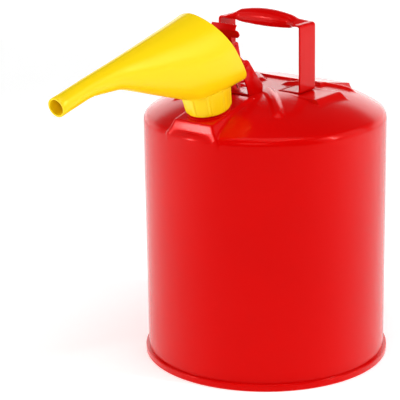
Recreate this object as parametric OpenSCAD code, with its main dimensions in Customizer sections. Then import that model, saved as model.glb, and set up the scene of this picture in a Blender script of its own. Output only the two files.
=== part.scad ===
// Round steel fuel safety can with a spring-closed lid, a fixed strap handle and a clip-on pouring funnel.
// Millimetres. The origin is the middle of the base, +Z is up and the pouring side faces -Y.

/* [Can] */
// Outside radius of the drawn body
body_r = 145; // [135:1:155]
// Thickness of the body sheet
sheet = 0.8; // [0.6:0.1:1.2]
// Height of the flat crown above the base
crown_z = 331.5; // [320:0.5:340]
// Radius of the flat middle of the crown
crown_flat_r = 40; // [30:1:50]
// Radius of the arc from the crown towards the shoulder
dome_arc_r = 190; // [180:5:220]
// Radius of the shoulder
shoulder_r = 12; // [8:1:18]
// Outside radius of the rolled bottom seam
seam_r = 148.8; // [147.5:0.1:150]
// Height of the rolled bottom seam
seam_h = 9; // [8:0.5:12]

/* [Neck] */
// Distance from the can's axis to the foot of the neck
neck_s = 108; // [104:1:112]
// Height of the foot of the neck
neck_z = 325.5; // [324:0.5:328]
// Lean of the neck towards the pouring side, in degrees
neck_tilt = 14; // [12:1:16]
// Outside radius of the neck
neck_r = 23; // [22.5:0.1:23.2]
// Thickness of the neck's wall
neck_wall = 1.2; // [1:0.1:1.4]
// Height of the neck's lip along its own axis
neck_h = 34; // [33:0.5:35]

/* [Handle] */
// Distance of the handle behind the can's axis
handle_back = 4; // [0:0.5:5]
// Half the outside width of the handle
handle_half = 59.5; // [56:0.5:64]
// Width of the strap
strap_w = 31; // [28:0.5:33]
// Thickness of the strap
strap_t = 2.5; // [2:0.1:3]
// Height of the top face of the strap
handle_top = 411.5; // [405:0.5:418]
// Radius of the rolled grip at its middle
grip_r = 10; // [9:0.5:11]

/* [Lid] */
// Distance of the hinge pin behind the neck's axis
hinge_back = 56; // [54:0.5:58]
// Height of the hinge pin along the neck's axis
hinge_n = 27; // [26:0.5:28]
// Radius of the hinge pin
pin_r = 3; // [2.5:0.1:3.2]
// Half the outside width of the lever
lever_half = 14.6; // [14:0.1:14.8]
// Outside radius of the cap's skirt
cap_r = 25.6; // [25.4:0.1:26]

/* [Funnel] */
// Distance from the neck's axis to the funnel's tip
tip_t = 233; // [215:1:245]
// Height of the funnel's straight top edge above the foot of the neck
top_n = 120; // [118:1:122]
// Outside radius of the nozzle
nozzle_r = 11; // [10:0.5:12]
// Thickness of the funnel's wall
funnel_wall = 2.2; // [1.8:0.1:2.4]
// Half the width of the funnel at its open rear end
funnel_half = 42.5; // [40:0.5:45]
// Number of grip ribs on the collar
collar_ribs = 9; // [6:1:12]

/* [Hidden] */

$fn = 96;
tiny = 0.01;
red = "crimson";
steel = "silver";

// ---- body ----
seam_gap = 0.05;
pan_z = 8;
dome_cz = crown_z - dome_arc_r;
shoulder_cx = body_r - shoulder_r;
shoulder_cz = dome_cz + sqrt(pow(dome_arc_r - shoulder_r, 2) - pow(shoulder_cx - crown_flat_r, 2));
shoulder_angle = atan2(shoulder_cz - dome_cz, shoulder_cx - crown_flat_r);
body_foot = 2;
dig = 40;

// pressed boss under the neck
boss_half = 27;
boss_front = 137;
boss_back = 58;
boss_drop = 3;
boss_draft = 0.6;
front_draft = 2.5;

// pressed pads under the handle's feet and behind the handle
pad_top = 329.8;
pad_end = 88.5;
pad_half = 25.6;
pad_draft = 0.25;
seat_in = 31;
seat_half = 18;
rear_half = 53;
rear_end = 103;
rear_start = 58;
rear_low = 321.5;

// pressed radial ribs
rib_half = 5;
rib_rise = 3;
rib_start = 24;
rib_end = 108;

// ---- lid, in the neck's frame ----
lid_gap = 0.1;
gasket_t = 2.4;
cap_plate_n = neck_h + lid_gap + gasket_t;
cap_t = 1.2;
arm_n = cap_plate_n + cap_t + 2.2;
lever_t = 1.6;
flange_half = lever_half - lever_t;
web_back = 47;
web_top = 60;
trigger_half = 23;
trigger_r = 4.5;
trigger_n = 73.5;
lip_angle = 40;
bracket_t = 1.8;
bracket_half = 17.2;

// ---- funnel, in the neck's frame ----
collar_clear = 0.05;
floor_n = 24;
rear_t = -34;
waist_half = 38;
throat_t = 138;
throat_half = 14.5;
throat_low = 88;
tip_rise = 2.5;
nozzle_n = top_n + tip_rise - nozzle_r;
nozzle_start = 184;
loft_step = 0.3;
slice_t = 0.5;

function arc(cx, cy, r, a0, a1, n) =
    [for (i = [0 : n]) [cx + r * cos(a0 + (a1 - a0) * i / n), cy + r * sin(a0 + (a1 - a0) * i / n)]];

// Places children on the neck's foot with z along the neck and -y towards the pouring side.
module at_neck() {
    translate([0, -neck_s, neck_z]) rotate([neck_tilt, 0, 0]) children();
}

// Extrudes an outline given as [distance to the pouring side, height] to both sides of the middle plane.
module side_plate(half, points) {
    rotate([90, 0, -90]) translate([0, 0, -half]) linear_extrude(2 * half) polygon(points);
}

// Extrudes children drawn as [x = towards the pouring side, y = up] from x0 to x1 across the can.
module side_sheet(x0, x1) {
    translate([x1, 0, 0]) rotate([90, 0, -90]) linear_extrude(x1 - x0) children();
}

module ring(r_out, r_in, z0, z1) {
    difference() {
        translate([0, 0, z0]) cylinder(r = r_out, h = z1 - z0);
        translate([0, 0, z0 - 1]) cylinder(r = r_in, h = z1 - z0 + 2);
    }
}

// ---- body shell ----

module can_profile(inset) {
    r_dome = dome_arc_r - inset;
    r_edge = shoulder_r - inset;
    join = shoulder_cx + r_edge * cos(shoulder_angle);
    z0 = body_foot;
    square_top = shoulder_cz;
    translate([0, z0]) square([body_r - inset, square_top - z0]);
    translate([shoulder_cx, shoulder_cz]) circle(r = r_edge);
    translate([0, square_top - 1]) square([crown_flat_r + tiny, crown_z - inset - square_top + 1]);
    intersection() {
        translate([crown_flat_r, dome_cz]) circle(r = r_dome, $fn = 360);
        translate([crown_flat_r, square_top - 1]) square([join - crown_flat_r, dome_arc_r]);
    }
}

module spout_boss(inset) {
    top = boss_drop + inset;
    rise = tan(neck_tilt);
    plane_at = neck_z - boss_drop / cos(neck_tilt) - inset;
    front_z = plane_at - (boss_front - neck_s) * rise;
    flat_s = neck_s - (crown_z - inset - plane_at) / rise;
    intersection() {
        side_plate(60, [[boss_back, crown_z - dig], [boss_front + dig / 2 * front_draft / 10 - inset, crown_z - dig],
            [boss_front - inset, front_z], [flat_s, crown_z - inset], [boss_back, crown_z - inset]]);
        at_neck() translate([0, 70, 0]) rotate([90, 0, 0]) linear_extrude(140)
            polygon([[-boss_half + inset, 20], [-boss_half + inset, -top], [-boss_half - dig * boss_draft, -top - dig],
                [boss_half + dig * boss_draft, -top - dig], [boss_half - inset, -top], [boss_half - inset, 20]]);
    }
}

module foot_pad(inset) {
    drop = 20;
    intersection() {
        translate([0, 60 + handle_back, 0]) rotate([90, 0, 0]) linear_extrude(120)
            polygon([[20, pad_top - drop], [pad_end + drop - inset, pad_top - drop],
                [pad_end - inset, pad_top - inset], [20, pad_top - inset]]);
        translate([0, handle_back, 0]) rotate([90, 0, 90]) linear_extrude(120)
            polygon([[-pad_half - drop * pad_draft + inset, pad_top - drop], [-pad_half + inset, pad_top - inset],
                [pad_half - inset, pad_top - inset], [pad_half + drop * pad_draft - inset, pad_top - drop]]);
    }
}

module rear_pad(inset) {
    side_plate(rear_half - inset, [[-rear_end + inset - 6, rear_low - 20], [-rear_end + inset, rear_low - inset],
        [-rear_start, crown_z - 1 - inset], [-rear_start, rear_low - 20]]);
}

module rib(inset) {
    low = crown_z - 30;
    intersection() {
        rotate_extrude($fn = 180) can_profile(inset - rib_rise);
        rotate([90, 0, 0]) translate([0, 0, -rib_half + inset]) linear_extrude(2 * (rib_half - inset))
            polygon([[rib_start + inset, low], [rib_end + 6 - inset, low], [rib_end - inset, crown_z],
                [rib_end - inset, crown_z + 10], [rib_start + 3 + inset, crown_z + 10], [rib_start + inset, crown_z]]);
    }
}

// Flat seat sunk into the crown under one of the handle's feet.
module foot_seat(inset) {
    translate([seat_in - inset, handle_back - seat_half - inset, pad_top - inset])
        cube([pad_end - 8 - seat_in + inset, 2 * (seat_half + inset), 20]);
}

module pressed_form(inset) {
    difference() {
        union() {
            rotate_extrude($fn = 180) can_profile(inset);
            spout_boss(inset);
            foot_pad(inset);
            mirror([1, 0, 0]) foot_pad(inset);
            rear_pad(inset);
            for (a = [45 : 90 : 315]) rotate([0, 0, a]) rib(inset);
        }
        foot_seat(inset);
        mirror([1, 0, 0]) foot_seat(inset);
    }
}

module body_shell() {
    color(red) difference() {
        pressed_form(0);
        pressed_form(sheet);
        translate([0, 0, -1]) cylinder(r = body_r - sheet, h = body_foot + 2);
        at_neck() translate([0, 0, -30]) cylinder(r = neck_r + seam_gap, h = 60);
    }
}

// The bottom pan's rim is rolled round the foot of the body shell.
module bottom_pan() {
    wall_in = body_r - sheet - seam_gap;
    wall_out = body_r + seam_gap;
    roll = 2;
    color(red) rotate_extrude($fn = 180) union() {
        polygon(concat([[0, pan_z - 1], [wall_in - 4, pan_z - 1], [wall_in - 3, 1]], arc(wall_in - 1, 2, 2, 180, 270, 4),
            arc(seam_r - roll, roll, roll, 270, 360, 6), arc(seam_r - roll, seam_h - roll, roll, 0, 60, 4),
            [[wall_out, seam_h], [wall_out, body_foot - 0.2], [wall_in, body_foot - 0.2], [wall_in, pan_z + 4],
            [wall_in - 1.2, pan_z + 4], [wall_in - 1.2, 3], [wall_in - 1.8, 3], [wall_in - 2.8, pan_z], [0, pan_z]]));
    }
}

// ---- neck and flame arrester ----

module filler_neck() {
    foot = boss_drop;
    color(red) at_neck() {
        ring(neck_r, neck_r - neck_wall, -foot - 4, neck_h);
        ring(neck_r + 3.5, neck_r - tiny, -foot, -foot + 1.2);
    }
}

arrester_top = 29.5;
arrester_r = 18.5;
arrester_len = 112;
module arrester_flange() {
    color(steel) at_neck() {
        ring(neck_r - neck_wall - seam_gap, arrester_r + seam_gap, arrester_top, arrester_top + 1.5);
        ring(arrester_r + 1, arrester_r + seam_gap, arrester_top - 7, arrester_top + tiny);
    }
}

module arrester_mesh() {
    color("gray") at_neck() ring(arrester_r, arrester_r - 1, arrester_top - arrester_len, arrester_top + 1.5);
}

module arrester_end_cap() {
    end_n = arrester_top - arrester_len;
    color(steel) at_neck() {
        translate([0, 0, end_n - 1.2 - seam_gap]) cylinder(r = arrester_r + 1, h = 1.2);
        ring(arrester_r + 1, arrester_r + seam_gap, end_n - 1.2 - seam_gap, end_n + 6);
    }
}

module arrester_snap_ring() {
    r = neck_r - neck_wall - 1 - seam_gap;
    gap = 24;
    color(steel) at_neck() translate([0, 0, arrester_top + 1.5 + 1 + seam_gap]) rotate([0, 0, gap / 2 - 90])
        rotate_extrude(angle = 360 - gap) translate([r, 0]) circle(r = 1, $fn = 24);
}

// ---- lid ----

module cap_shell() {
    skirt = 8;
    color(red) at_neck() {
        difference() {
            translate([0, 0, cap_plate_n]) cylinder(r = cap_r - 1, h = cap_t);
            translate([0, 0, cap_plate_n - 1]) cylinder(r = pin_r + seam_gap, h = cap_t + 2);
        }
        ring(cap_r, cap_r - cap_t, cap_plate_n + cap_t - 1 - skirt, cap_plate_n + cap_t - 1);
        rotate_extrude() translate([cap_r - 1, cap_plate_n + cap_t - 1]) intersection() {
            circle(r = 1, $fn = 24);
            square(1);
        }
        ring(pin_r + 6, pin_r + seam_gap, cap_plate_n + cap_t - tiny, cap_plate_n + cap_t + 2);
    }
}

module cap_gasket() {
    color("dimgray") at_neck() ring(cap_r - cap_t - seam_gap, 14, cap_plate_n - gasket_t, cap_plate_n);
}

module gasket_washer() {
    color(steel) at_neck() {
        ring(14 - seam_gap, pin_r + seam_gap, cap_plate_n - gasket_t, cap_plate_n);
        ring(17, pin_r + seam_gap, cap_plate_n - gasket_t - 0.8, cap_plate_n - gasket_t);
    }
}

module cap_rivet() {
    low = cap_plate_n - gasket_t - 0.8;
    color(steel) at_neck() {
        translate([0, 0, low - 1.6]) cylinder(r = 5.5, h = 1.6 - seam_gap);
        translate([0, 0, low - 1]) cylinder(r = pin_r, h = arm_n + lever_t - low + 2);
        translate([0, 0, arm_n + lever_t + seam_gap]) cylinder(r1 = 5.5, r2 = 3.5, h = 1.8);
    }
}

// Side flange of the lever as [distance to the pouring side, height] in the neck's frame.
module lever_flange_outline() {
    back = -hinge_back;
    difference() {
        union() {
            polygon([[12, arm_n], [14, arm_n + 5], [9, arm_n + 8], [-34, arm_n + 10], [-42, 60], [-45, 62.5],
                [-51, 62.5], [-53.5, 60], [-53.5, 42], [back - 8.5, hinge_n], [back + 1, hinge_n - 8.9],
                [back + 8, hinge_n - 4], [-41, arm_n - 5], [-33, arm_n]]);
            translate([back, hinge_n]) circle(r = 9);
        }
        translate([back, hinge_n]) circle(r = pin_r + seam_gap);
        translate([-48, 58]) circle(r = 1.6);
    }
}

// Wide finger plate with round ends and a folded lip, welded behind the lever's upright web.
module trigger_plate() {
    lip = 7.5;
    color(red) at_neck() translate([0, web_back, 0]) {
        translate([0, lever_t, 0]) rotate([90, 0, 0]) linear_extrude(lever_t) union() {
            translate([-11, arm_n + 8]) square([22, trigger_n - arm_n - 8]);
            round_bar(trigger_half - trigger_r, trigger_n, trigger_r);
        }
        translate([0, lever_t - 0.3, trigger_n + trigger_r - 1.4]) rotate([-lip_angle, 0, 0])
            translate([-trigger_half + trigger_r + 1, -lever_t, 0]) cube([2 * (trigger_half - trigger_r - 1), lever_t, lip]);
    }
}

// Flat bar with round ends.
module round_bar(half, y, r) {
    translate([-half, y - r]) square([2 * half, 2 * r]);
    translate([-half, y]) circle(r = r);
    translate([half, y]) circle(r = r);
}

module lid_lever() {
    color(red) at_neck() {
        side_sheet(-lever_half, -flange_half) lever_flange_outline();
        side_sheet(flange_half, lever_half) lever_flange_outline();
        difference() {
            translate([-flange_half - tiny, -10, arm_n]) cube([2 * flange_half + 2 * tiny, 10 + web_back, lever_t]);
            translate([0, 0, arm_n - 1]) cylinder(r = pin_r + seam_gap, h = lever_t + 2);
        }
        translate([-flange_half - tiny, web_back - lever_t, arm_n])
            cube([2 * flange_half + 2 * tiny, lever_t, web_top - arm_n]);
    }
}

// ---- hinge ----

// Places children on the hinge pin's axis, as [distance to the pouring side, height] in the can's frame.
hinge_s = neck_s - hinge_back * cos(neck_tilt) + hinge_n * sin(neck_tilt);
hinge_z = neck_z + hinge_back * sin(neck_tilt) + hinge_n * cos(neck_tilt);

module ear_outline() {
    foot = crown_z;
    difference() {
        union() {
            polygon([[27, foot], [27, foot + 8], [38, foot + 21], [hinge_s - 8, hinge_z + 5], [hinge_s, hinge_z],
                [hinge_s + 8.5, hinge_z - 4], [57, foot + 11], [54, foot]]);
            translate([hinge_s, hinge_z]) circle(r = 9.5);
        }
        translate([hinge_s, hinge_z]) circle(r = pin_r + seam_gap);
    }
}

module hinge_bracket() {
    color(red) {
        side_sheet(-bracket_half, -bracket_half + bracket_t) ear_outline();
        side_sheet(bracket_half - bracket_t, bracket_half) ear_outline();
        translate([-bracket_half, -54, crown_z]) cube([2 * bracket_half, 27, bracket_t]);
    }
}

module hinge_pin() {
    long = bracket_half + 2.2;
    color(steel) translate([-long, -hinge_s, hinge_z]) rotate([0, 90, 0]) union() {
        cylinder(r = pin_r, h = 2 * long);
        translate([0, 0, -1.5]) cylinder(r = pin_r + 1.5, h = 1.5 + tiny);
    }
}

module pin_clip() {
    color(steel) translate([bracket_half + 0.3, -hinge_s, hinge_z]) rotate([0, 90, 0])
        ring(pin_r + 2.5, pin_r + seam_gap, 0, 0.9);
}

// Torsion spring round the hinge pin: one leg on the bracket's base, the other behind the lever's plate.
spring_wire = 0.9;
spring_r = 5.2;
spring_turns = 5;
spring_steps = 12;
function spring_points() = concat(
    [[-9.5, -hinge_s + 20, crown_z + bracket_t + spring_wire + 0.3]],
    [for (i = [0 : spring_turns * spring_steps + 4])
        let (a = 200 + 360 * i / spring_steps)
        [-9.5 + 19 * i / (spring_turns * spring_steps + 4), -hinge_s - spring_r * cos(a), hinge_z + spring_r * sin(a)]]);

module lid_spring() {
    pts = spring_points();
    color(steel) for (i = [0 : len(pts) - 2]) wire(pts[i], pts[i + 1], spring_wire);
}

module wire(a, b, r) {
    d = b - a;
    len_ab = norm(d);
    translate(a) rotate([0, acos(d[2] / len_ab), atan2(d[1], d[0])]) cylinder(r = r, h = len_ab, $fn = 6);
}

// ---- handle ----
foot_in = 34;
bend_r = 4;
grip_half = 40;
grip_z = handle_top + 2;

module strap_outline() {
    difference() {
        rounded_bar(handle_half, pad_top, handle_top, bend_r);
        rounded_bar(handle_half - strap_t, pad_top + strap_t, handle_top - strap_t, bend_r - strap_t + 0.5);
        translate([-foot_in, pad_top - 1]) square([2 * foot_in, 20]);
        translate([-grip_half - 4, handle_top - 20]) square([2 * grip_half + 8, 40]);
    }
}

module rounded_bar(half, low, high, r) {
    translate([-half, low + r]) square([2 * half, high - low - 2 * r]);
    translate([-half + r, low]) square([2 * half - 2 * r, high - low]);
    for (x = [-half + r, half - r]) for (y = [low + r, high - r]) translate([x, y]) circle(r = r, $fn = 48);
}

module handle_bail() {
    color(red) translate([0, handle_back, 0]) {
        translate([0, strap_w / 2, 0]) rotate([90, 0, 0]) linear_extrude(strap_w) strap_outline();
        translate([0, 0, grip_z]) rotate([0, 90, 0]) rotate_extrude()
            polygon(concat([[0, -grip_half]], [for (i = [-10 : 10])
                [6.5 + (grip_r - 6.5) * cos(i * 8.5), grip_half * i / 10]], [[0, grip_half]]));
        for (side = [0, 1]) mirror([side, 0, 0]) hull() {
            translate([grip_half - 3, 0, grip_z]) rotate([0, 90, 0]) cylinder(r = 6.5, h = 3, $fn = 32);
            translate([grip_half + 4, -strap_w / 2, handle_top - strap_t]) cube([1, strap_w, strap_t]);
        }
    }
}

// ---- funnel ----

// Slice of the funnel's section: an oval whose lower half gets squarer as p falls below 1.
module section(t, half, low, high, p) {
    mid = (low + high) / 2;
    rise = (high - low) / 2;
    translate([0, -t, mid]) rotate([90, 0, 0]) linear_extrude(slice_t)
        polygon([for (i = [0 : 35]) let (a = i * 10, q = sin(a) < 0 ? p : 1.1)
            [half * sign(cos(a)) * pow(abs(cos(a)), q), rise * sign(sin(a)) * pow(abs(sin(a)), q)]]);
}

// Each stretch of the funnel starts inside the one behind it, a hair smaller, so that no two faces coincide.
module funnel_form(inset) {
    mid = inset + loft_step;
    fore = inset + 2 * loft_step;
    hull() {
        section(rear_t - inset, funnel_half - inset, floor_n - 2 + inset, top_n - inset, 0.45);
        section(0, funnel_half - 0.5 - inset, floor_n - 2 + inset, top_n - inset, 0.6);
        section(30, waist_half - inset, floor_n - 1 + inset, top_n - inset, 0.85);
    }
    hull() {
        section(29, waist_half - mid, floor_n - 1 + mid, top_n - mid, 0.85);
        section(throat_t, throat_half - mid, throat_low + mid, top_n + tip_rise / 2 - mid, 1);
    }
    hull() {
        section(throat_t - 1, throat_half - fore, throat_low + fore, top_n + tip_rise / 2 - fore, 1);
        section(nozzle_start + 2, nozzle_r - 1 - fore, nozzle_n - nozzle_r + 1 + fore,
            nozzle_n + nozzle_r - 1 - fore, 1);
    }
    translate([0, -nozzle_start, nozzle_n]) rotate([90, 0, 0])
        cylinder(r = nozzle_r - inset, h = tip_t - nozzle_start + (inset > 0 ? 5 : 0));
}

module collar() {
    rotate_extrude() polygon(concat([[neck_r + collar_clear, 0], [24.6, 0], [25.4, 0.8]],
        [for (i = [0 : 8]) [25.6 + 2.6 * sin(i * 15), 2 + i * 2.6]], [[27, floor_n + 4], [neck_r + collar_clear, floor_n + 4]]));
    for (i = [0 : collar_ribs - 1]) rotate([0, 0, (i + 0.1) * 360 / collar_ribs])
        translate([-1.1, 24, 2.5]) cube([2.2, 4.9, floor_n]);
}

module funnel() {
    color("gold") at_neck() difference() {
        union() {
            difference() {
                funnel_form(0);
                funnel_form(funnel_wall);
            }
            collar();
        }
        translate([0, 0, -1]) cylinder(r = neck_r + collar_clear, h = floor_n + 12);
        // open rear end, cut along a slope
        side_sheet(-70, 70) polygon([[rear_t - 12, floor_n - 30], [rear_t, floor_n - 4], [rear_t, floor_n + 2],
            [4, top_n], [8, top_n + 10], [-80, top_n + 10], [-80, floor_n - 30]]);
    }
}

body_shell();
bottom_pan();
filler_neck();
arrester_flange();
arrester_mesh();
arrester_end_cap();
arrester_snap_ring();
cap_shell();
cap_gasket();
gasket_washer();
cap_rivet();
lid_lever();
trigger_plate();
hinge_bracket();
hinge_pin();
pin_clip();
lid_spring();
handle_bail();
funnel();
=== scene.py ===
"""Builds the looks of a round steel fuel can with a sprung lid and a clip-on funnel.

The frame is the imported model's: the origin is the middle of the base, +Z is up and the pouring side faces -Y.
The pieces are worked out in millimetres, and MM turns those into metres. The stage's places are in metres.
"""

import math

import bpy
import numpy as np
from bpy.props import FloatProperty, FloatVectorProperty, IntProperty, PointerProperty
from mathutils import Matrix, Vector


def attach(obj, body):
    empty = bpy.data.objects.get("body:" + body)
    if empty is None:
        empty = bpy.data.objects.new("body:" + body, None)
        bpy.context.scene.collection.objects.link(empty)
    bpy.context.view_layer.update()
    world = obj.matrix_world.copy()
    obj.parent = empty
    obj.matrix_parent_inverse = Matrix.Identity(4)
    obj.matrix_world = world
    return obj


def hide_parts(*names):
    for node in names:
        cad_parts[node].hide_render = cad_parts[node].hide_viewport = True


bl_info = {
    "name": "Fuel can looks",
    "version": (1, 0, 0),
    "blender": (4, 5, 0),
    "location": "View3D > Sidebar > Fuel Can",
    "description": "Builds the visual pieces of a round fuel can over its packed model",
    "category": "Object",
}

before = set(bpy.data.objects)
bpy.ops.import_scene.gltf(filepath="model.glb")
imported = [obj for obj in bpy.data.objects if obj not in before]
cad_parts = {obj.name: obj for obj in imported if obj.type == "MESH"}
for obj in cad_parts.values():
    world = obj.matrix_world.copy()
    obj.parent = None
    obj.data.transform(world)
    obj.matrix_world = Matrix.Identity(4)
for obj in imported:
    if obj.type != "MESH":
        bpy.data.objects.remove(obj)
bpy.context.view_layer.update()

MM = 0.001

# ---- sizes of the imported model, in millimetres ----
BODY_R = 145.0
CROWN_Z = 331.5
CROWN_FLAT_R = 40.0
DOME_R = 190.0
SHOULDER_R = 12.0
DOME_CZ = CROWN_Z - DOME_R
SHOULDER_CX = BODY_R - SHOULDER_R
SHOULDER_CZ = DOME_CZ + math.sqrt((DOME_R - SHOULDER_R) ** 2 - (SHOULDER_CX - CROWN_FLAT_R) ** 2)
SHOULDER_ANGLE = math.atan2(SHOULDER_CZ - DOME_CZ, SHOULDER_CX - CROWN_FLAT_R)
NECK_S = 108.0
NECK_Z = 325.5
NECK_TILT = math.radians(14)
HANDLE_BACK = 4.0
PAD_TOP = 329.8
HINGE_Y = -60.195
HINGE_Z = 365.246
FUNNEL_TIP_T = 233.0
NECK_HOLE_R = 24.4

# ---- pressings of the crown, in millimetres; a draft is sideways travel per millimetre of height ----
BOSS_HALF = 27.0
BOSS_SIDE_DRAFT = 0.6
BOSS_FRONT = 137.0
BOSS_FRONT_DRAFT = 0.25
BOSS_BACK = 58.0
BOSS_BACK_DRAFT = 0.5
BOSS_UNDER_NECK = 3.0
PAD_HALF = 25.6
PAD_DRAFT = 0.25
PAD_END = 88.5
REAR_TOP = 321.5
REAR_SLOPE = 0.2
REAR_END = 103.0
REAR_END_DRAFT = 0.3
REAR_HALF = 53.0
REAR_SIDE_DRAFT = 0.2
REAR_START = 40.0
RIB_TURNS = (45, 135, 225, 315)
RIB_START = 28.0
RIB_END = 103.0
RIB_REACH = 8.6
RIB_RISE = 3.4
RIB_FALL = 1.6
SEAT_HALF = 18.0
SEAT_MIDDLE = 55.7
SEAT_HALF_LENGTH = 24.7
SEAT_BLEND = 3.0
SEAT_SLOPE = 2.0
SEAT_SOFT = 0.6
OUT_OF_REACH = 1000.0

# ---- the handle's strap and grip, in millimetres ----
STRAP_HALF_T = 1.25
STRAP_HALF = 15.5
STRAP_OUTER = 59.5
STRAP_TOP = 411.5
STRAP_BEND = 3.0
FOOT_END = 34.0
GRIP_HALF = 54.0
GRIP_EASE = 20.0
GRIP_RISE = 9.3
GRIP_LIFT = 2.4
GRIP_END_HALF = 6.4
GRIP_SWELL = 3.6
GRIP_END_SHARE = 0.42
GRIP_MIDDLE_SHARE = 0.58
STRAP_SQUARE = 9.0
GRIP_ROUND = 2.0

# ---- the funnel, in millimetres ----
# For each size of its section: the places along the neck's t axis, and the size at each of them.
FUNNEL_PROFILES = {
    "half": ([-60, -34, 0, 30, 138, 184, 240], [42.6, 42.4, 41.6, 37.6, 14.6, 11.2, 10.9]),
    "low": ([-60, -34, 0, 30, 138, 184, 240], [22.2, 22.2, 22.2, 23.2, 88.2, 100.6, 100.6]),
    "high": ([-60, 30, 138, 184, 240], [119.8, 119.8, 121.1, 122.3, 122.4]),
    # Under 1 the lower half of the section is squarer than an oval.
    "square": ([-60, -34, 0, 30, 138, 240], [0.42, 0.45, 0.6, 0.85, 1.0, 1.0]),
}
FUNNEL_REAR_LOW = (-34.0, 24.0)
FUNNEL_REAR_HIGH = (4.0, 120.0)
FUNNEL_LEAN_REACH = 110.0
FUNNEL_FLATTER = 0.1
FUNNEL_ROUND_FROM = 150
FUNNEL_ROUND_REACH = 60
FUNNEL_LEAN_PASSES = 4
FUNNEL_HOLE_R = 24.8
FUNNEL_HOLE_TOP = 45
COLLAR_BORE = 23.05
COLLAR_FOOT_R = 26.0
COLLAR_FLARE = 2.4
COLLAR_FLARE_START = 3.0
COLLAR_STEP = 2.2
COLLAR_TOP = 28.4
COLLAR_MEAN_R = 27.5
COLLAR_RIB_HALF = 0.7
COLLAR_RIB_EASE = 0.9
COLLAR_DIP = 0.35
COLLAR_TURN = 0.1

# ---- the lid's spring, in millimetres ----
SPRING_TURNS = 5
SPRING_PER_TURN = 36
SPRING_R = 5.2
SPRING_WIRE_R = 0.9
SPRING_HALF = 9.5
SPRING_START = 200
SPRING_LEG_OUT = 20.0
SPRING_LEG_LIFT = 3.0


# ---------------------------------------------------------------- settings


class FuelCanSizes(bpy.types.PropertyGroup):
    """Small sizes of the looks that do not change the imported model."""

    sheet: FloatProperty(
        name="Body sheet",
        description="Thickness of the body's sheet",
        default=0.8 * MM,
        min=0.0004,
        unit="LENGTH",
    )
    soft: FloatProperty(
        name="Pressing radius",
        description="How far the edges of the pressings in the crown are rounded",
        default=1.7 * MM,
        min=0.0005,
        unit="LENGTH",
    )
    edge: FloatProperty(
        name="Sheet edge",
        description="Rounding of cut sheet edges",
        default=0.35 * MM,
        min=0.0001,
        unit="LENGTH",
    )
    funnel_wall: FloatProperty(
        name="Funnel wall",
        description="Thickness of the funnel's wall",
        default=2.2 * MM,
        min=0.001,
        unit="LENGTH",
    )
    collar_ribs: IntProperty(
        name="Collar ribs",
        description="Grip ribs round the collar",
        default=9,
        min=0,
    )


class FuelCanFinish(bpy.types.PropertyGroup):
    """Colours and gloss of the finishes."""

    enamel: FloatVectorProperty(
        name="Enamel", description="Colour of the enamel", subtype="COLOR", default=(0.655, 0.0012, 0.001)
    )
    plastic: FloatVectorProperty(
        name="Plastic", description="Colour of the funnel", subtype="COLOR", default=(1.0, 0.68, 0.004)
    )
    zinc: FloatVectorProperty(
        name="Zinc", description="Colour of the plated steel", subtype="COLOR", default=(0.62, 0.61, 0.58)
    )
    rubber: FloatVectorProperty(
        name="Rubber", description="Colour of the seal", subtype="COLOR", default=(0.028, 0.024, 0.022)
    )
    enamel_gloss: FloatProperty(
        name="Enamel roughness",
        description="Roughness of the enamel",
        subtype="FACTOR",
        default=0.17,
        min=0,
        max=1,
    )


# ---------------------------------------------------------------- node helpers


class Signal:
    """A node output that takes part in arithmetic."""

    def __init__(self, graph, socket):
        self.graph = graph
        self.socket = socket

    def math(self, operation, *others):
        return self.graph.node("ShaderNodeMath", {"operation": operation}, *([self] + list(others)))

    def __add__(self, other):
        return self.math("ADD", other)

    __radd__ = __add__

    def __mul__(self, other):
        return self.math("MULTIPLY", other)

    def __sub__(self, other):
        return self.math("SUBTRACT", other)

    def clamp(self, low, high):
        return self.graph.node("ShaderNodeClamp", {}, self, low, high)


class Graph:
    """The node tree of one material."""

    def __init__(self, name):
        self.material = bpy.data.materials.new(name)
        self.material.use_nodes = True
        self.tree = self.material.node_tree
        self.shader = self.tree.nodes["Principled BSDF"]

    def node(self, kind, settings, *values, output=0, **named):
        node = self.tree.nodes.new(kind)
        for key, value in settings.items():
            setattr(node, key, value)
        pairs = list(enumerate(values)) + [(key.replace("_", " "), value) for key, value in named.items()]
        for key, value in pairs:
            self.feed(node.inputs[key], value)
        return Signal(self, node.outputs[output])

    def feed(self, socket, value):
        if isinstance(value, Signal):
            self.tree.links.new(value.socket, socket)
        else:
            socket.default_value = value

    def place(self):
        return self.node("ShaderNodeTexCoord", {}, output="Object")

    def noise(self, scale, detail=2.0, roughness=0.5, at=None):
        return self.node(
            "ShaderNodeTexNoise",
            {},
            Vector=at or self.place(),
            Scale=scale,
            Detail=detail,
            Roughness=roughness,
            output="Fac",
        )

    def stretched(self, scale):
        return self.node("ShaderNodeVectorMath", {"operation": "MULTIPLY"}, self.place(), scale)

    def blend(self, factor, first, second):
        node = self.tree.nodes.new("ShaderNodeMix")
        node.data_type = "RGBA"
        self.feed(node.inputs[0], factor)
        self.feed(node.inputs[6], first)
        self.feed(node.inputs[7], second)
        return Signal(self, node.outputs[2])

    def bump(self, height, strength, distance):
        return self.node(
            "ShaderNodeBump", {}, Height=height, Strength=strength, Distance=distance, output="Normal"
        )

    def finish(self, **inputs):
        for key, value in inputs.items():
            self.feed(self.shader.inputs[key.replace("_", " ")], value)
        return self.material


def rgba(colour, gain=1.0):
    return (min(colour[0] * gain, 1.0), min(colour[1] * gain, 1.0), min(colour[2] * gain, 1.0), 1.0)


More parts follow.
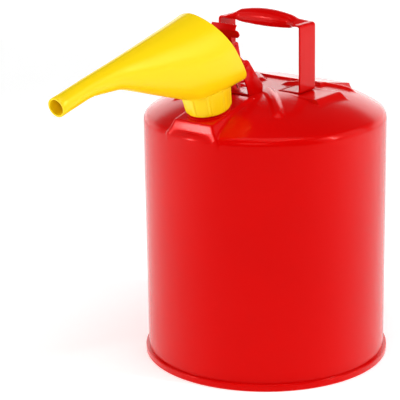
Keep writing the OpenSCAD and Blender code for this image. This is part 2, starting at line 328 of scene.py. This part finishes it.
def enamel_material(settings):
    g = Graph("red_enamel")
    cloud = g.noise(9.0, 3.0)
    speck = g.noise(900.0, 1.0)
    colour = g.blend(cloud, rgba(settings.enamel, 0.95), rgba(settings.enamel, 1.06))
    peel = g.noise(420.0, 2.0) + g.noise(26.0, 1.0) * 2.2
    return g.finish(
        Base_Color=g.blend((speck - 0.66).clamp(0.0, 1.0) * 1.5, colour, rgba(settings.enamel, 0.82)),
        Roughness=settings.enamel_gloss + g.noise(60.0, 3.0) * 0.05,
        Normal=g.bump(peel, 0.05, 0.001),
        Specular_IOR_Level=0.42,
        Specular_Tint=(1.0, 0.07, 0.06, 1.0),
        Coat_Weight=0.04,
        Coat_Roughness=0.05,
    )


def plastic_material(settings):
    g = Graph("yellow_plastic")
    cloud = g.noise(14.0, 2.0)
    colour = g.blend(cloud, rgba(settings.plastic, 0.98), (1.0, 0.70, 0.004, 1.0))
    grain = g.noise(700.0, 3.0) + g.noise(40.0, 1.0) * 0.5
    return g.finish(
        Base_Color=colour,
        Roughness=0.25 + g.noise(90.0, 2.0) * 0.03,
        Normal=g.bump(grain, 0.02, 0.0005),
        Specular_IOR_Level=0.45,
        Specular_Tint=(1.0, 0.95, 0.3, 1.0),
    )


def zinc_material(settings):
    g = Graph("zinc_steel")
    spangle = g.noise(260.0, 4.0, 0.6)
    streak = g.noise(1.0, 3.0, 0.6, at=g.stretched((1400.0, 1400.0, 90.0)))
    return g.finish(
        Base_Color=g.blend(spangle, rgba(settings.zinc, 0.72), rgba(settings.zinc, 1.12)),
        Roughness=0.24 + streak * 0.22,
        Metallic=1.0,
        Normal=g.bump(streak + spangle, 0.12, 0.0004),
    )


def mesh_material(settings):
    """Woven wire: two crossed waves along and round the arrester, with painted shade in the holes between the
    wires.
    """
    g = Graph("steel_mesh")
    place = g.node("ShaderNodeSeparateXYZ", {}, g.place())
    across = Signal(g, place.socket.node.outputs["X"])
    along = Signal(g, place.socket.node.outputs["Z"])
    wires = 5200.0
    weave = (across * wires).math("SINE") * (along * wires).math("SINE")
    wire = (weave * 0.5 + 0.5).clamp(0.0, 1.0)
    return g.finish(
        # The near-black colour where the wires are absent is painted shade, standing for the dark seen through
        # the holes of the weave.
        Base_Color=g.blend(wire, (0.05, 0.05, 0.048, 1.0), rgba(settings.zinc, 1.0)),
        Roughness=0.34 + g.noise(500.0) * 0.15,
        Metallic=0.9,
        Normal=g.bump(wire, 0.7, 0.0006),
    )


def rubber_material(settings):
    g = Graph("seal_rubber")
    grain = g.noise(1500.0, 3.0)
    return g.finish(
        Base_Color=g.blend(g.noise(120.0, 3.0), rgba(settings.rubber, 0.8), rgba(settings.rubber, 1.5)),
        Roughness=0.62 + grain * 0.2,
        Normal=g.bump(grain, 0.25, 0.0004),
    )


FINISHES = {
    "red_enamel": enamel_material,
    "yellow_plastic": plastic_material,
    "zinc_steel": zinc_material,
    "steel_mesh": mesh_material,
    "seal_rubber": rubber_material,
}


def finish_named(name):
    """The material of a slot, made on first use."""
    if name not in bpy.data.materials or not bpy.data.materials[name].get("ready"):
        material = FINISHES[name](bpy.context.scene.fuel_can_finish)
        material["ready"] = True
        return material
    return bpy.data.materials[name]


def set_material(obj, slot):
    obj.data.materials.clear()
    obj.data.materials.append(finish_named(slot))


# ---------------------------------------------------------------- mesh helpers


def only(obj):
    """Makes one object the active and only selected one."""
    bpy.ops.object.select_all(action="DESELECT")
    obj.select_set(True)
    bpy.context.view_layer.objects.active = obj


def mesh_object(name, points, faces):
    """A new object from points in millimetres, for pieces whose rings are worked out one by one."""
    data = bpy.data.meshes.new(name)
    data.from_pydata([tuple(c * MM for c in p) for p in points], [], faces)
    data.validate()
    obj = bpy.data.objects.new(name, data)
    bpy.context.scene.collection.objects.link(obj)
    return obj


def apply_modifier(obj, kind, **settings):
    only(obj)
    modifier = obj.modifiers.new(kind.title(), kind)
    for key, value in settings.items():
        setattr(modifier, key, value)
    bpy.ops.object.modifier_apply(modifier=modifier.name)


def outward(obj):
    only(obj)
    bpy.ops.object.mode_set(mode="EDIT")
    bpy.ops.mesh.select_all(action="SELECT")
    bpy.ops.mesh.remove_doubles(threshold=1e-6)
    bpy.ops.mesh.normals_make_consistent(inside=False)
    bpy.ops.object.mode_set(mode="OBJECT")


def smooth(obj, degrees):
    only(obj)
    bpy.ops.object.shade_smooth_by_angle(angle=math.radians(degrees))


def join(parts, name):
    bpy.ops.object.select_all(action="DESELECT")
    for part in parts:
        part.select_set(True)
    bpy.context.view_layer.objects.active = parts[0]
    bpy.ops.object.join()
    parts[0].name = name
    return parts[0]


def dress(obj, body, slot, nodes):
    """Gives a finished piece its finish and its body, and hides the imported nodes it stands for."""
    set_material(obj, slot)
    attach(obj, body)
    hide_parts(*nodes)


def ring_faces(rings, count, closed_ends, closed_loop=False):
    """Quads between rings of the same count of points, and caps at both ends when asked."""
    faces = []
    for k in range(rings if closed_loop else rings - 1):
        low, high = k * count, ((k + 1) % rings) * count
        for i in range(count):
            j = (i + 1) % count
            faces.append((low + i, low + j, high + j, high + i))
    if closed_ends:
        faces.append(tuple(range(count - 1, -1, -1)))
        faces.append(tuple((rings - 1) * count + i for i in range(count)))
    return faces


def sweep(name, path, section, across):
    """Sweeps a section along a path.

    section(k) gives the points (side, up) at place k of the path, and across is the fixed side direction.
    """
    path = [Vector(p) for p in path]
    rings = []
    for k, here in enumerate(path):
        before, after = path[max(k - 1, 0)], path[min(k + 1, len(path) - 1)]
        along = (after - before).normalized()
        up = across.cross(along).normalized()
        rings.append([here + across * a + up * b for a, b in section(k)])
    points = [point for ring in rings for point in ring]
    return mesh_object(name, points, ring_faces(len(rings), len(rings[0]), True))


def tube(name, path, radius, sides=12):
    """A round wire along a path of points in millimetres."""
    path = [Vector(p) for p in path]
    points = []
    side = Vector((0.3, 0.5, 0.81))
    for k, here in enumerate(path):
        along = (path[min(k + 1, len(path) - 1)] - path[max(k - 1, 0)]).normalized()
        side = (side - along * side.dot(along)).normalized()
        other = along.cross(side)
        for i in range(sides):
            a = 2 * math.pi * i / sides
            points.append(here + (side * math.cos(a) + other * math.sin(a)) * radius)
    return mesh_object(name, points, ring_faces(len(path), sides, True))


def from_neck(u, t, n):
    """A point given in the neck's frame, in the can's frame, in millimetres."""
    c, s = math.cos(NECK_TILT), math.sin(NECK_TILT)
    return (u, -(NECK_S + t * c + n * s), NECK_Z - t * s + n * c)


# ---------------------------------------------------------------- the crown


def soft_max(a, b, reach):
    """The greater of two heights, rounded off where they meet."""
    h = np.clip(reach - np.abs(a - b), 0, None) / reach
    return np.maximum(a, b) + h * h * reach * 0.25


def soft_min(a, b, reach):
    return -soft_max(-a, -b, reach)


def dome_height(r):
    """The plain crown: a flat middle, a domed ring and the shoulder's radius."""
    join_r = SHOULDER_CX + SHOULDER_R * math.cos(SHOULDER_ANGLE)
    arc = DOME_CZ + np.sqrt(np.clip(DOME_R**2 - np.clip(r - CROWN_FLAT_R, 0, None) ** 2, 0, None))
    edge = SHOULDER_CZ + np.sqrt(np.clip(SHOULDER_R**2 - (r - SHOULDER_CX) ** 2, 0, None))
    return np.where(r <= join_r, arc, edge)


def boss_height(x, s, soft):
    """The pressed table under the neck: a sloping top, drafted sides and a steep front."""
    rise = math.tan(NECK_TILT)
    plane_at = NECK_Z - BOSS_UNDER_NECK / math.cos(NECK_TILT)
    top = soft_min(plane_at - (s - NECK_S) * rise, np.full_like(s, CROWN_Z), soft)
    side = top + (BOSS_HALF - np.abs(x)) / BOSS_SIDE_DRAFT
    front = plane_at - (BOSS_FRONT - NECK_S) * rise + (BOSS_FRONT - s) / BOSS_FRONT_DRAFT
    back = CROWN_Z + (s - BOSS_BACK) / BOSS_BACK_DRAFT
    return soft_min(soft_min(soft_min(top, side, soft), front, soft), back, soft)


def foot_pad_height(x, y, soft):
    """The raised pad across the crown that carries the handle's feet."""
    side = PAD_TOP + (PAD_HALF - np.abs(y - HANDLE_BACK)) / PAD_DRAFT
    end = PAD_TOP + (PAD_END - np.abs(x))
    top = np.full_like(x, PAD_TOP)
    return soft_min(soft_min(top, side, soft), end, soft)


def rear_pad_height(x, y, soft):
    """The flat sloping pad behind the handle."""
    top = REAR_TOP + (REAR_END - y) * REAR_SLOPE
    end = REAR_TOP + (REAR_END - y) / REAR_END_DRAFT
    side = top + (REAR_HALF - np.abs(x)) / REAR_SIDE_DRAFT
    back = np.where(y > REAR_START, OUT_OF_REACH, -OUT_OF_REACH)
    return np.minimum(soft_min(soft_min(top, end, soft), side, soft), back)


def rib_height(x, y):
    """Four raised ribs that run out over the dome like fingers."""
    best = np.zeros_like(x)
    for turn in RIB_TURNS:
        a = math.radians(turn)
        p = x * math.cos(a) + y * math.sin(a)
        q = -x * math.sin(a) + y * math.cos(a)
        beyond = np.clip(RIB_START - p, 0, None) + np.clip(p - RIB_END, 0, None)
        away = np.clip(np.hypot(q, beyond) / RIB_REACH, 0, 1)
        best = np.maximum(best, RIB_RISE * np.cos(away * math.pi / 2) ** RIB_FALL)
    return best


def crown_height(x, y, soft):
    """The outside of the crown over (x, y), with flat seats pressed under the handle's feet."""
    z = dome_height(np.hypot(x, y)) + rib_height(x, y)
    z = soft_max(z, boss_height(x, -y, soft), soft)
    z = soft_max(z, foot_pad_height(x, y, soft), soft)
    z = soft_max(z, rear_pad_height(x, y, soft), soft)
    past_side = np.abs(y - HANDLE_BACK) - SEAT_HALF
    past_end = np.abs(np.abs(x) - SEAT_MIDDLE) - SEAT_HALF_LENGTH
    away = np.maximum(past_side, past_end)
    seat = PAD_TOP + np.clip(away, 0, None) * SEAT_SLOPE
    return np.where(away < SEAT_BLEND, soft_min(z, seat, SEAT_SOFT), z)


class FUELCAN_OT_body(bpy.types.Operator):
    """Builds the pressed body shell"""

    bl_idname = "fuel_can.body"
    bl_label = "Body shell"

    def execute(self, context):
        sizes = context.scene.fuel_can_sizes
        sectors = 480
        middle = [3, 9, 15, 19.5]
        pressed = np.arange(21.5, 132.0, 1.95)
        steep = np.arange(132.2, 141.0, 0.62)
        shoulder_turns = np.radians(np.array([42, 33, 24, 16, 8, 0]))
        shoulder = BODY_R - SHOULDER_R + SHOULDER_R * np.cos(shoulder_turns)
        radii = np.concatenate([middle, pressed, steep, shoulder])
        angle = 2 * math.pi * np.arange(sectors) / sectors
        r, a = np.meshgrid(radii, angle, indexing="ij")
        x, y = r * np.sin(a), -r * np.cos(a)
        z = crown_height(x, y, sizes.soft / MM)
        wall_heights = [285.0, 230.0, 170.0, 110.0, 50.0, 20.0, 10.0, 2.2]
        wall = np.array(
            [[(BODY_R * math.sin(t), -BODY_R * math.cos(t), h) for t in angle] for h in wall_heights]
        )
        grid = np.concatenate([np.stack([x, y, z], axis=-1), wall])
        points = [(0.0, 0.0, CROWN_Z)] + [tuple(p) for p in grid.reshape(-1, 3).tolist()]
        faces = [(0, 1 + i, 1 + (i + 1) % sectors) for i in range(sectors)]
        c, s = math.cos(NECK_TILT), math.sin(NECK_TILT)
        for f in ring_faces(len(grid), sectors, False):
            corners = [points[i + 1] for i in f]
            px, py, pz = (sum(p[k] for p in corners) / 4 for k in range(3))
            t = (-py - NECK_S) * c - (pz - NECK_Z) * s
            if math.hypot(px, t) > NECK_HOLE_R:
                faces.append(tuple(i + 1 for i in f))
        body = mesh_object("body_shell_look", points, faces)
        outward(body)
        apply_modifier(body, "SOLIDIFY", thickness=sizes.sheet, offset=-1.0)
        smooth(body, 50)
        dress(body, "can", "red_enamel", ["body_shell"])
        return {"FINISHED"}


# ---------------------------------------------------------------- the handle


def oval_section(half, rise, power, count=40):
    """A section between a strap with square edges and a round."""
    out = []
    for i in range(count):
        a = 2 * math.pi * (i + 0.5) / count
        ca, sa = math.cos(a), math.sin(a)
        side = half * math.copysign(abs(ca) ** (2 / power), ca)
        up = rise * math.copysign(abs(sa) ** (2 / power), sa)
        out.append((side, up))
    return out


def grip_mix(x):
    """0 on the plain strap and 1 well inside the grip."""
    f = min(max((GRIP_HALF - abs(x)) / GRIP_EASE, 0.0), 1.0)
    return f * f * (3 - 2 * f)


def grip_arch(x):
    return math.cos(min(abs(x) / GRIP_HALF, 1.0) * math.pi / 2)


def handle_section(x):
    """The strap's section, which swells into the rolled grip."""
    mix = grip_mix(x)
    width = STRAP_HALF + (GRIP_END_HALF + GRIP_SWELL * grip_arch(x) - STRAP_HALF) * mix
    rise = STRAP_HALF_T + GRIP_RISE * mix * (GRIP_END_SHARE + GRIP_MIDDLE_SHARE * grip_arch(x))
    rounding = min(mix * 1.8, 1.0)
    return oval_section(width, rise, STRAP_SQUARE + (GRIP_ROUND - STRAP_SQUARE) * rounding)


class FUELCAN_OT_handle(bpy.types.Operator):
    """Builds the strap handle with its rolled grip"""

    bl_idname = "fuel_can.handle"
    bl_label = "Handle"

    def execute(self, context):
        bend, bend_steps = STRAP_BEND, 8
        outer = STRAP_OUTER - STRAP_HALF_T
        top = STRAP_TOP - STRAP_HALF_T
        low = PAD_TOP + STRAP_HALF_T
        side = [(FOOT_END, low), (outer - bend - 3.0, low)]
        for cx, cz, a0, a1 in ((outer - bend, low + bend, -90, 0), (outer - bend, top - bend, 0, 90)):
            for k in range(bend_steps + 1):
                a = math.radians(a0 + (a1 - a0) * k / bend_steps)
                side.append((cx + bend * math.cos(a), cz + bend * math.sin(a)))
            if a0 == -90:
                side += [(outer, low + bend + (top - low - 2 * bend) * k / 6) for k in range(1, 6)]
        side += [(outer - bend - 1.6 * k, top) for k in range(1, 4)]
        grip = [50.0 - 2.0 * k for k in range(26)]
        half_path = side + [(x, top + GRIP_LIFT * grip_mix(x) * grip_arch(x)) for x in grip]
        path = half_path + [(-x, z) for x, z in reversed(half_path[:-1])]
        strap_end = len(side)

        def section(k):
            if strap_end <= k < len(path) - strap_end:
                return handle_section(path[k][0])
            return oval_section(STRAP_HALF, STRAP_HALF_T, STRAP_SQUARE)

        points = [(x, HANDLE_BACK, z) for x, z in path]
        bail = sweep("handle_look", points, section, Vector((0, 1, 0)))
        outward(bail)
        smooth(bail, 50)
        dress(bail, "can", "red_enamel", ["handle_bail"])
        return {"FINISHED"}


# ---------------------------------------------------------------- the funnel


def eased(at, stations, values, reach=11.0):
    """A broken line with its corners rounded off: a weighted mean over the reach to both sides."""
    samples_across, edge = 23, 1.05
    offsets = np.linspace(-reach, reach, samples_across)
    weights = 1.0 - np.abs(offsets) / (reach * edge)
    samples = np.interp(at + offsets, stations, values)
    return float((samples * weights).sum() / weights.sum())


def funnel_at(size, t):
    return eased(t, *FUNNEL_PROFILES[size])


def funnel_section(base, slope, count):
    """One ring of the funnel's outside, leaned so that its rear follows the slanted rim."""
    ring = []
    for i in range(count):
        a = 2 * math.pi * (i + 0.5) / count
        ca, sa = math.cos(a), math.sin(a)
        t = base
        for _ in range(FUNNEL_LEAN_PASSES):
            low, high, half = funnel_at("low", t), funnel_at("high", t), funnel_at("half", t)
            upper = 1.0 + FUNNEL_FLATTER * min(max((FUNNEL_ROUND_FROM - t) / FUNNEL_ROUND_REACH, 0), 1)
            power = funnel_at("square", t) if sa < 0 else upper
            n = (low + high) / 2 + (high - low) / 2 * math.copysign(abs(sa) ** power, sa)
            t = base + slope * (n - FUNNEL_REAR_LOW[1])
        u = half * math.copysign(abs(ca) ** power, ca)
        ring.append((u, t, n))
    return ring


class FUELCAN_OT_funnel(bpy.types.Operator):
    """Builds the pouring funnel with its ribbed collar"""

    bl_idname = "fuel_can.funnel"
    bl_label = "Funnel"

    def shell(self, wall):
        count = 96
        rear = FUNNEL_REAR_LOW[0]
        near = [k / 16 * 46 for k in range(17)] + [50 + 5.0 * k for k in range(26)] + [182, 193, 204, 214]
        stations = [rear + v for v in near] + [190.0, 202.0, 214.0, 222.0, FUNNEL_TIP_T]
        stations = sorted({round(v, 3) for v in stations if v <= FUNNEL_TIP_T})
        lean = (FUNNEL_REAR_HIGH[0] - rear) / (FUNNEL_REAR_HIGH[1] - FUNNEL_REAR_LOW[1])
        points = []
        for base in stations:
            hold = 1.0 - min(max((base - rear) / FUNNEL_LEAN_REACH, 0.0), 1.0)
            points += funnel_section(base, lean * hold * hold * (3 - 2 * hold), count)
        faces = []
        for f in ring_faces(len(stations), count, False):
            u, t, n = (sum(points[i][k] for i in f) / 4 for k in range(3))
            if n > FUNNEL_HOLE_TOP or math.hypot(u, t) > FUNNEL_HOLE_R:
                faces.append(f)
        shell = mesh_object("funnel_look", [from_neck(*p) for p in points], faces)
        outward(shell)
        apply_modifier(shell, "SOLIDIFY", thickness=wall, offset=-1.0, use_even_offset=True)
        apply_modifier(
            shell, "BEVEL", width=0.5 * MM, segments=2, limit_method="ANGLE", angle_limit=math.radians(50)
        )
        return shell

    def collar(self, ribs):
        sectors = 288
        # Each point is a radius, a height and how much of the ribs it takes.
        outline = [(COLLAR_BORE, 0.0, 0), (24.4, 0.0, 0), (25.2, 0.5, 0.1), (25.7, 1.4, 0.5)]
        outline += [(COLLAR_FOOT_R, COLLAR_FLARE_START, 0.9)]
        for k in range(1, 11):
            outline.append((COLLAR_FOOT_R + COLLAR_FLARE * k / 10, COLLAR_FLARE_START + COLLAR_STEP * k, 1.0))
        outline += [(28.4, 27.5, 1.0), (27.6, COLLAR_TOP, 0.3), (COLLAR_BORE, COLLAR_TOP, 0)]
        points = []
        for k in range(sectors):
            a = 2 * math.pi * k / sectors
            place = (a * ribs / (2 * math.pi) - COLLAR_TURN) % 1.0 if ribs else 0.5
            near = min(place, 1 - place) * 2 * math.pi * COLLAR_MEAN_R / max(ribs, 1)
            bump = max(0.0, 1.0 - max(near - COLLAR_RIB_HALF, 0.0) / COLLAR_RIB_EASE)
            bump = bump * bump * (3 - 2 * bump)
            dip = COLLAR_DIP * (1 - math.cos(2 * math.pi * place))
            for r, n, weight in outline:
                rr = r + weight * (bump - dip)
                points.append(from_neck(rr * math.sin(a), rr * math.cos(a), n))
        faces = ring_faces(sectors, len(outline), False, closed_loop=True)
        ring = mesh_object("collar_look", points, faces)
        outward(ring)
        return ring

    def execute(self, context):
        sizes = context.scene.fuel_can_sizes
        funnel = join([self.shell(sizes.funnel_wall), self.collar(sizes.collar_ribs)], "funnel_look")
        smooth(funnel, 40)
        dress(funnel, "funnel", "yellow_plastic", ["funnel"])
        return {"FINISHED"}


# ---------------------------------------------------------------- sheet metal and turned parts


def softened_copy(node, body, slot, width):
    """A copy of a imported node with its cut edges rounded."""
    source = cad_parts[node]
    data = source.data.copy()
    obj = bpy.data.objects.new(node + "_look", data)
    bpy.context.scene.collection.objects.link(obj)
    obj.matrix_world = source.matrix_world
    only(obj)
    bpy.ops.object.transform_apply(location=True, rotation=True, scale=True)
    if data.has_custom_normals:
        bpy.ops.mesh.customdata_custom_splitnormals_clear()
    bpy.ops.object.mode_set(mode="EDIT")
    bpy.ops.mesh.select_all(action="SELECT")
    bpy.ops.mesh.remove_doubles(threshold=1e-6)
    bpy.ops.mesh.dissolve_limited(angle_limit=math.radians(0.6))
    bpy.ops.mesh.normals_make_consistent(inside=False)
    bpy.ops.object.mode_set(mode="OBJECT")
    apply_modifier(
        obj,
        "BEVEL",
        width=width,
        segments=2,
        limit_method="ANGLE",
        angle_limit=math.radians(40),
        use_clamp_overlap=True,
    )
    apply_modifier(obj, "TRIANGULATE")
    smooth(obj, 32)
    dress(obj, body, slot, [node])


class FUELCAN_OT_lid(bpy.types.Operator):
    """Rounds the edges of the lever, its finger plate and the cap"""

    bl_idname = "fuel_can.lid"
    bl_label = "Lid"

    def execute(self, context):
        edge = context.scene.fuel_can_sizes.edge
        for node, body, slot in (
            ("lid_lever", "lid", "red_enamel"),
            ("trigger_plate", "lid", "red_enamel"),
            ("cap_shell", "cap", "red_enamel"),
            ("cap_rivet", "lid", "zinc_steel"),
        ):
            softened_copy(node, body, slot, edge)
        return {"FINISHED"}


class FUELCAN_OT_fittings(bpy.types.Operator):
    """Rounds the edges of the bracket, pin, clip and neck"""

    bl_idname = "fuel_can.fittings"
    bl_label = "Fittings"

    def execute(self, context):
        edge = context.scene.fuel_can_sizes.edge
        for node, slot, scale in (
            ("hinge_bracket", "red_enamel", 1.0),
            ("hinge_pin", "red_enamel", 1.0),
            ("pin_clip", "red_enamel", 0.5),
            ("filler_neck", "red_enamel", 0.8),
        ):
            softened_copy(node, "can", slot, edge * scale)
        return {"FINISHED"}


class FUELCAN_OT_spring(bpy.types.Operator):
    """Winds the lid's torsion spring"""

    bl_idname = "fuel_can.spring"
    bl_label = "Spring"

    def execute(self, context):
        steps = SPRING_TURNS * SPRING_PER_TURN + 8
        coil = []
        for i in range(steps + 1):
            a = math.radians(SPRING_START + 360 * i / SPRING_PER_TURN)
            along = -SPRING_HALF + 2 * SPRING_HALF * i / steps
            coil.append((along, HINGE_Y - SPRING_R * math.cos(a), HINGE_Z + SPRING_R * math.sin(a)))
        leg = (-SPRING_HALF, HINGE_Y + SPRING_LEG_OUT, CROWN_Z + SPRING_LEG_LIFT)
        spring = tube("lid_spring_look", [leg] + coil, SPRING_WIRE_R)
        outward(spring)
        smooth(spring, 60)
        dress(spring, "can", "zinc_steel", ["lid_spring"])
        return {"FINISHED"}


class FUELCAN_OT_carried(bpy.types.Operator):
    """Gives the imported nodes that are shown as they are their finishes"""

    bl_idname = "fuel_can.carried"
    bl_label = "Carried nodes"

    def execute(self, context):
        for node, slot in (
            ("bottom_pan", "red_enamel"),
            ("arrester_flange", "zinc_steel"),
            ("arrester_mesh", "steel_mesh"),
            ("arrester_end_cap", "zinc_steel"),
            ("arrester_snap_ring", "zinc_steel"),
            ("cap_gasket", "seal_rubber"),
            ("gasket_washer", "zinc_steel"),
        ):
            set_material(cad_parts[node], slot)
        return {"FINISHED"}


# ---------------------------------------------------------------- stage


CAMERA_AZIMUTH = math.radians(36.3)
CAMERA_DISTANCE = 2.0
CAMERA_HEIGHT = 0.7994
CAMERA_YAW = -0.0396
CAMERA_PITCH = 0.296
CAMERA_ROLL = -0.0166
CAMERA_LENS_MM = 154.96
SENSOR_MM = 36.0
WHITE = (1.0, 1.0, 1.0, 1.0)

# Facing the can from the camera: name, place, height aimed at, width and height, watts.
LIGHTS = (
    ("left", (-1.95, -0.35, 0.9), 0.22, (2.2, 2.0), 12),
    ("right", (1.95, -0.35, 0.9), 0.22, (2.2, 2.0), 14),
    ("top", (-0.1, -0.5, 2.3), 0.3, (1.6, 1.2), 13),
    ("front", (-0.6, -3.0, 1.9), 0.2, (1.6, 1.0), 15),
    ("rim strip", (0.6, -1.0, 2.3), 0.35, (1.6, 0.10), 9),
    ("left strip", (-1.89, -0.65, 0.54), 0.32, (0.10, 0.36), 8),
    ("right strip", (1.85, -0.75, 1.30), 0.40, (0.15, 0.90), 13),
)


def around(vector):
    """Turns a direction of the camera's frame into the can's frame."""
    return Matrix.Rotation(CAMERA_AZIMUTH, 3, "Z") @ Vector(vector)


def soft_light(name, place, aim_height, size, power):
    data = bpy.data.lights.new(name, "AREA")
    data.shape = "RECTANGLE"
    data.size, data.size_y = size
    data.energy = power
    light = bpy.data.objects.new(name, data)
    bpy.context.scene.collection.objects.link(light)
    light.location = around(place)
    toward = around((0, 0, aim_height)) - light.location
    light.rotation_euler = toward.to_track_quat("-Z", "Y").to_euler()


def paper_material(name, glow):
    g = Graph(name)
    tone = g.noise(3.0, 2.0)
    return g.finish(
        Base_Color=g.blend(tone, (0.93, 0.93, 0.93, 1.0), (0.96, 0.96, 0.96, 1.0)),
        Roughness=0.9,
        Specular_IOR_Level=0.1,
        Emission_Color=WHITE,
        Emission_Strength=glow,
    )


def paper_plane(name, side, size, place, turn, glow):
    """A glowing sheet, made as a square of the given side and then stretched to its size."""
    bpy.ops.mesh.primitive_plane_add(size=side)
    plane = bpy.context.active_object
    plane.name = name
    plane.dimensions = (size[0], size[1], 0.0)
    plane.location = place
    plane.rotation_euler = turn
    plane.data.materials.append(paper_material(name + "_paper", glow))


def studio_world():
    world = bpy.data.worlds.new("studio")
    world.use_nodes = True
    background = world.node_tree.nodes["Background"]
    background.inputs["Color"].default_value = WHITE
    background.inputs["Strength"].default_value = 0.08
    return world


def aimed_camera():
    data = bpy.data.cameras.new("camera")
    data.sensor_width = SENSOR_MM
    data.lens = CAMERA_LENS_MM
    data.clip_end = 50.0
    camera = bpy.data.objects.new("camera", data)
    bpy.context.scene.collection.objects.link(camera)
    cp, sp = math.cos(CAMERA_PITCH), math.sin(CAMERA_PITCH)
    cy, sy = math.cos(CAMERA_YAW), math.sin(CAMERA_YAW)
    cr, sr = math.cos(CAMERA_ROLL), math.sin(CAMERA_ROLL)
    forward = Vector((sy * cp, cy * cp, -sp))
    right = Vector((cy, -sy, 0.0))
    up = right.cross(forward)
    axes = (right * cr + up * sr, up * cr - right * sr, -forward)
    turned = Matrix([around(axis) for axis in axes]).transposed()
    place = around((0.0, -CAMERA_DISTANCE, CAMERA_HEIGHT))
    camera.matrix_world = Matrix.Translation(place) @ turned.to_4x4()
    return camera


class FUELCAN_OT_stage(bpy.types.Operator):
    """Sets up the pale floor, the backdrop, the soft lights and the camera"""

    bl_idname = "fuel_can.stage"
    bl_label = "Stage"

    def execute(self, context):
        scene = context.scene
        bpy.ops.object.select_all(action="DESELECT")
        paper_plane("floor", 14.0, (14.0, 14.0), (0, 0, 0), (0, 0, 0), 0.38)
        upright = (math.radians(90), 0, CAMERA_AZIMUTH)
        paper_plane("backdrop", 1.0, (12.0, 2.0), around((0.0, 3.2, 1.0)), upright, 1.0)
        for light in LIGHTS:
            soft_light(*light)
        scene.world = studio_world()
        scene.view_settings.view_transform = "Standard"
        scene.camera = aimed_camera()
        return {"FINISHED"}


# ---------------------------------------------------------------- panel and registration


class FUELCAN_PT_panel(bpy.types.Panel):
    """Lists the pieces of the can"""

    bl_label = "Fuel can"
    bl_idname = "FUELCAN_PT_panel"
    bl_space_type = "VIEW_3D"
    bl_region_type = "UI"
    bl_category = "Fuel Can"

    def draw(self, context):
        layout = self.layout
        for group in (context.scene.fuel_can_sizes, context.scene.fuel_can_finish):
            for key in group.__annotations__:
                layout.prop(group, key)
        for operator in OPERATORS:
            layout.operator(operator.bl_idname)


OPERATORS = (
    FUELCAN_OT_body,
    FUELCAN_OT_handle,
    FUELCAN_OT_lid,
    FUELCAN_OT_fittings,
    FUELCAN_OT_spring,
    FUELCAN_OT_carried,
    FUELCAN_OT_funnel,
    FUELCAN_OT_stage,
)
CLASSES = (FuelCanSizes, FuelCanFinish) + OPERATORS + (FUELCAN_PT_panel,)


def register():
    for cls in CLASSES:
        bpy.utils.register_class(cls)
    bpy.types.Scene.fuel_can_sizes = PointerProperty(type=FuelCanSizes)
    bpy.types.Scene.fuel_can_finish = PointerProperty(type=FuelCanFinish)


def unregister():
    del bpy.types.Scene.fuel_can_finish
    del bpy.types.Scene.fuel_can_sizes
    for cls in reversed(CLASSES):
        bpy.utils.unregister_class(cls)


def main():
    register()
    bpy.ops.fuel_can.body()
    bpy.ops.fuel_can.handle()
    bpy.ops.fuel_can.lid()
    bpy.ops.fuel_can.fittings()
    bpy.ops.fuel_can.spring()
    bpy.ops.fuel_can.carried()
    bpy.ops.fuel_can.funnel()
    bpy.ops.fuel_can.stage()


if __name__ == "__main__":
    main()
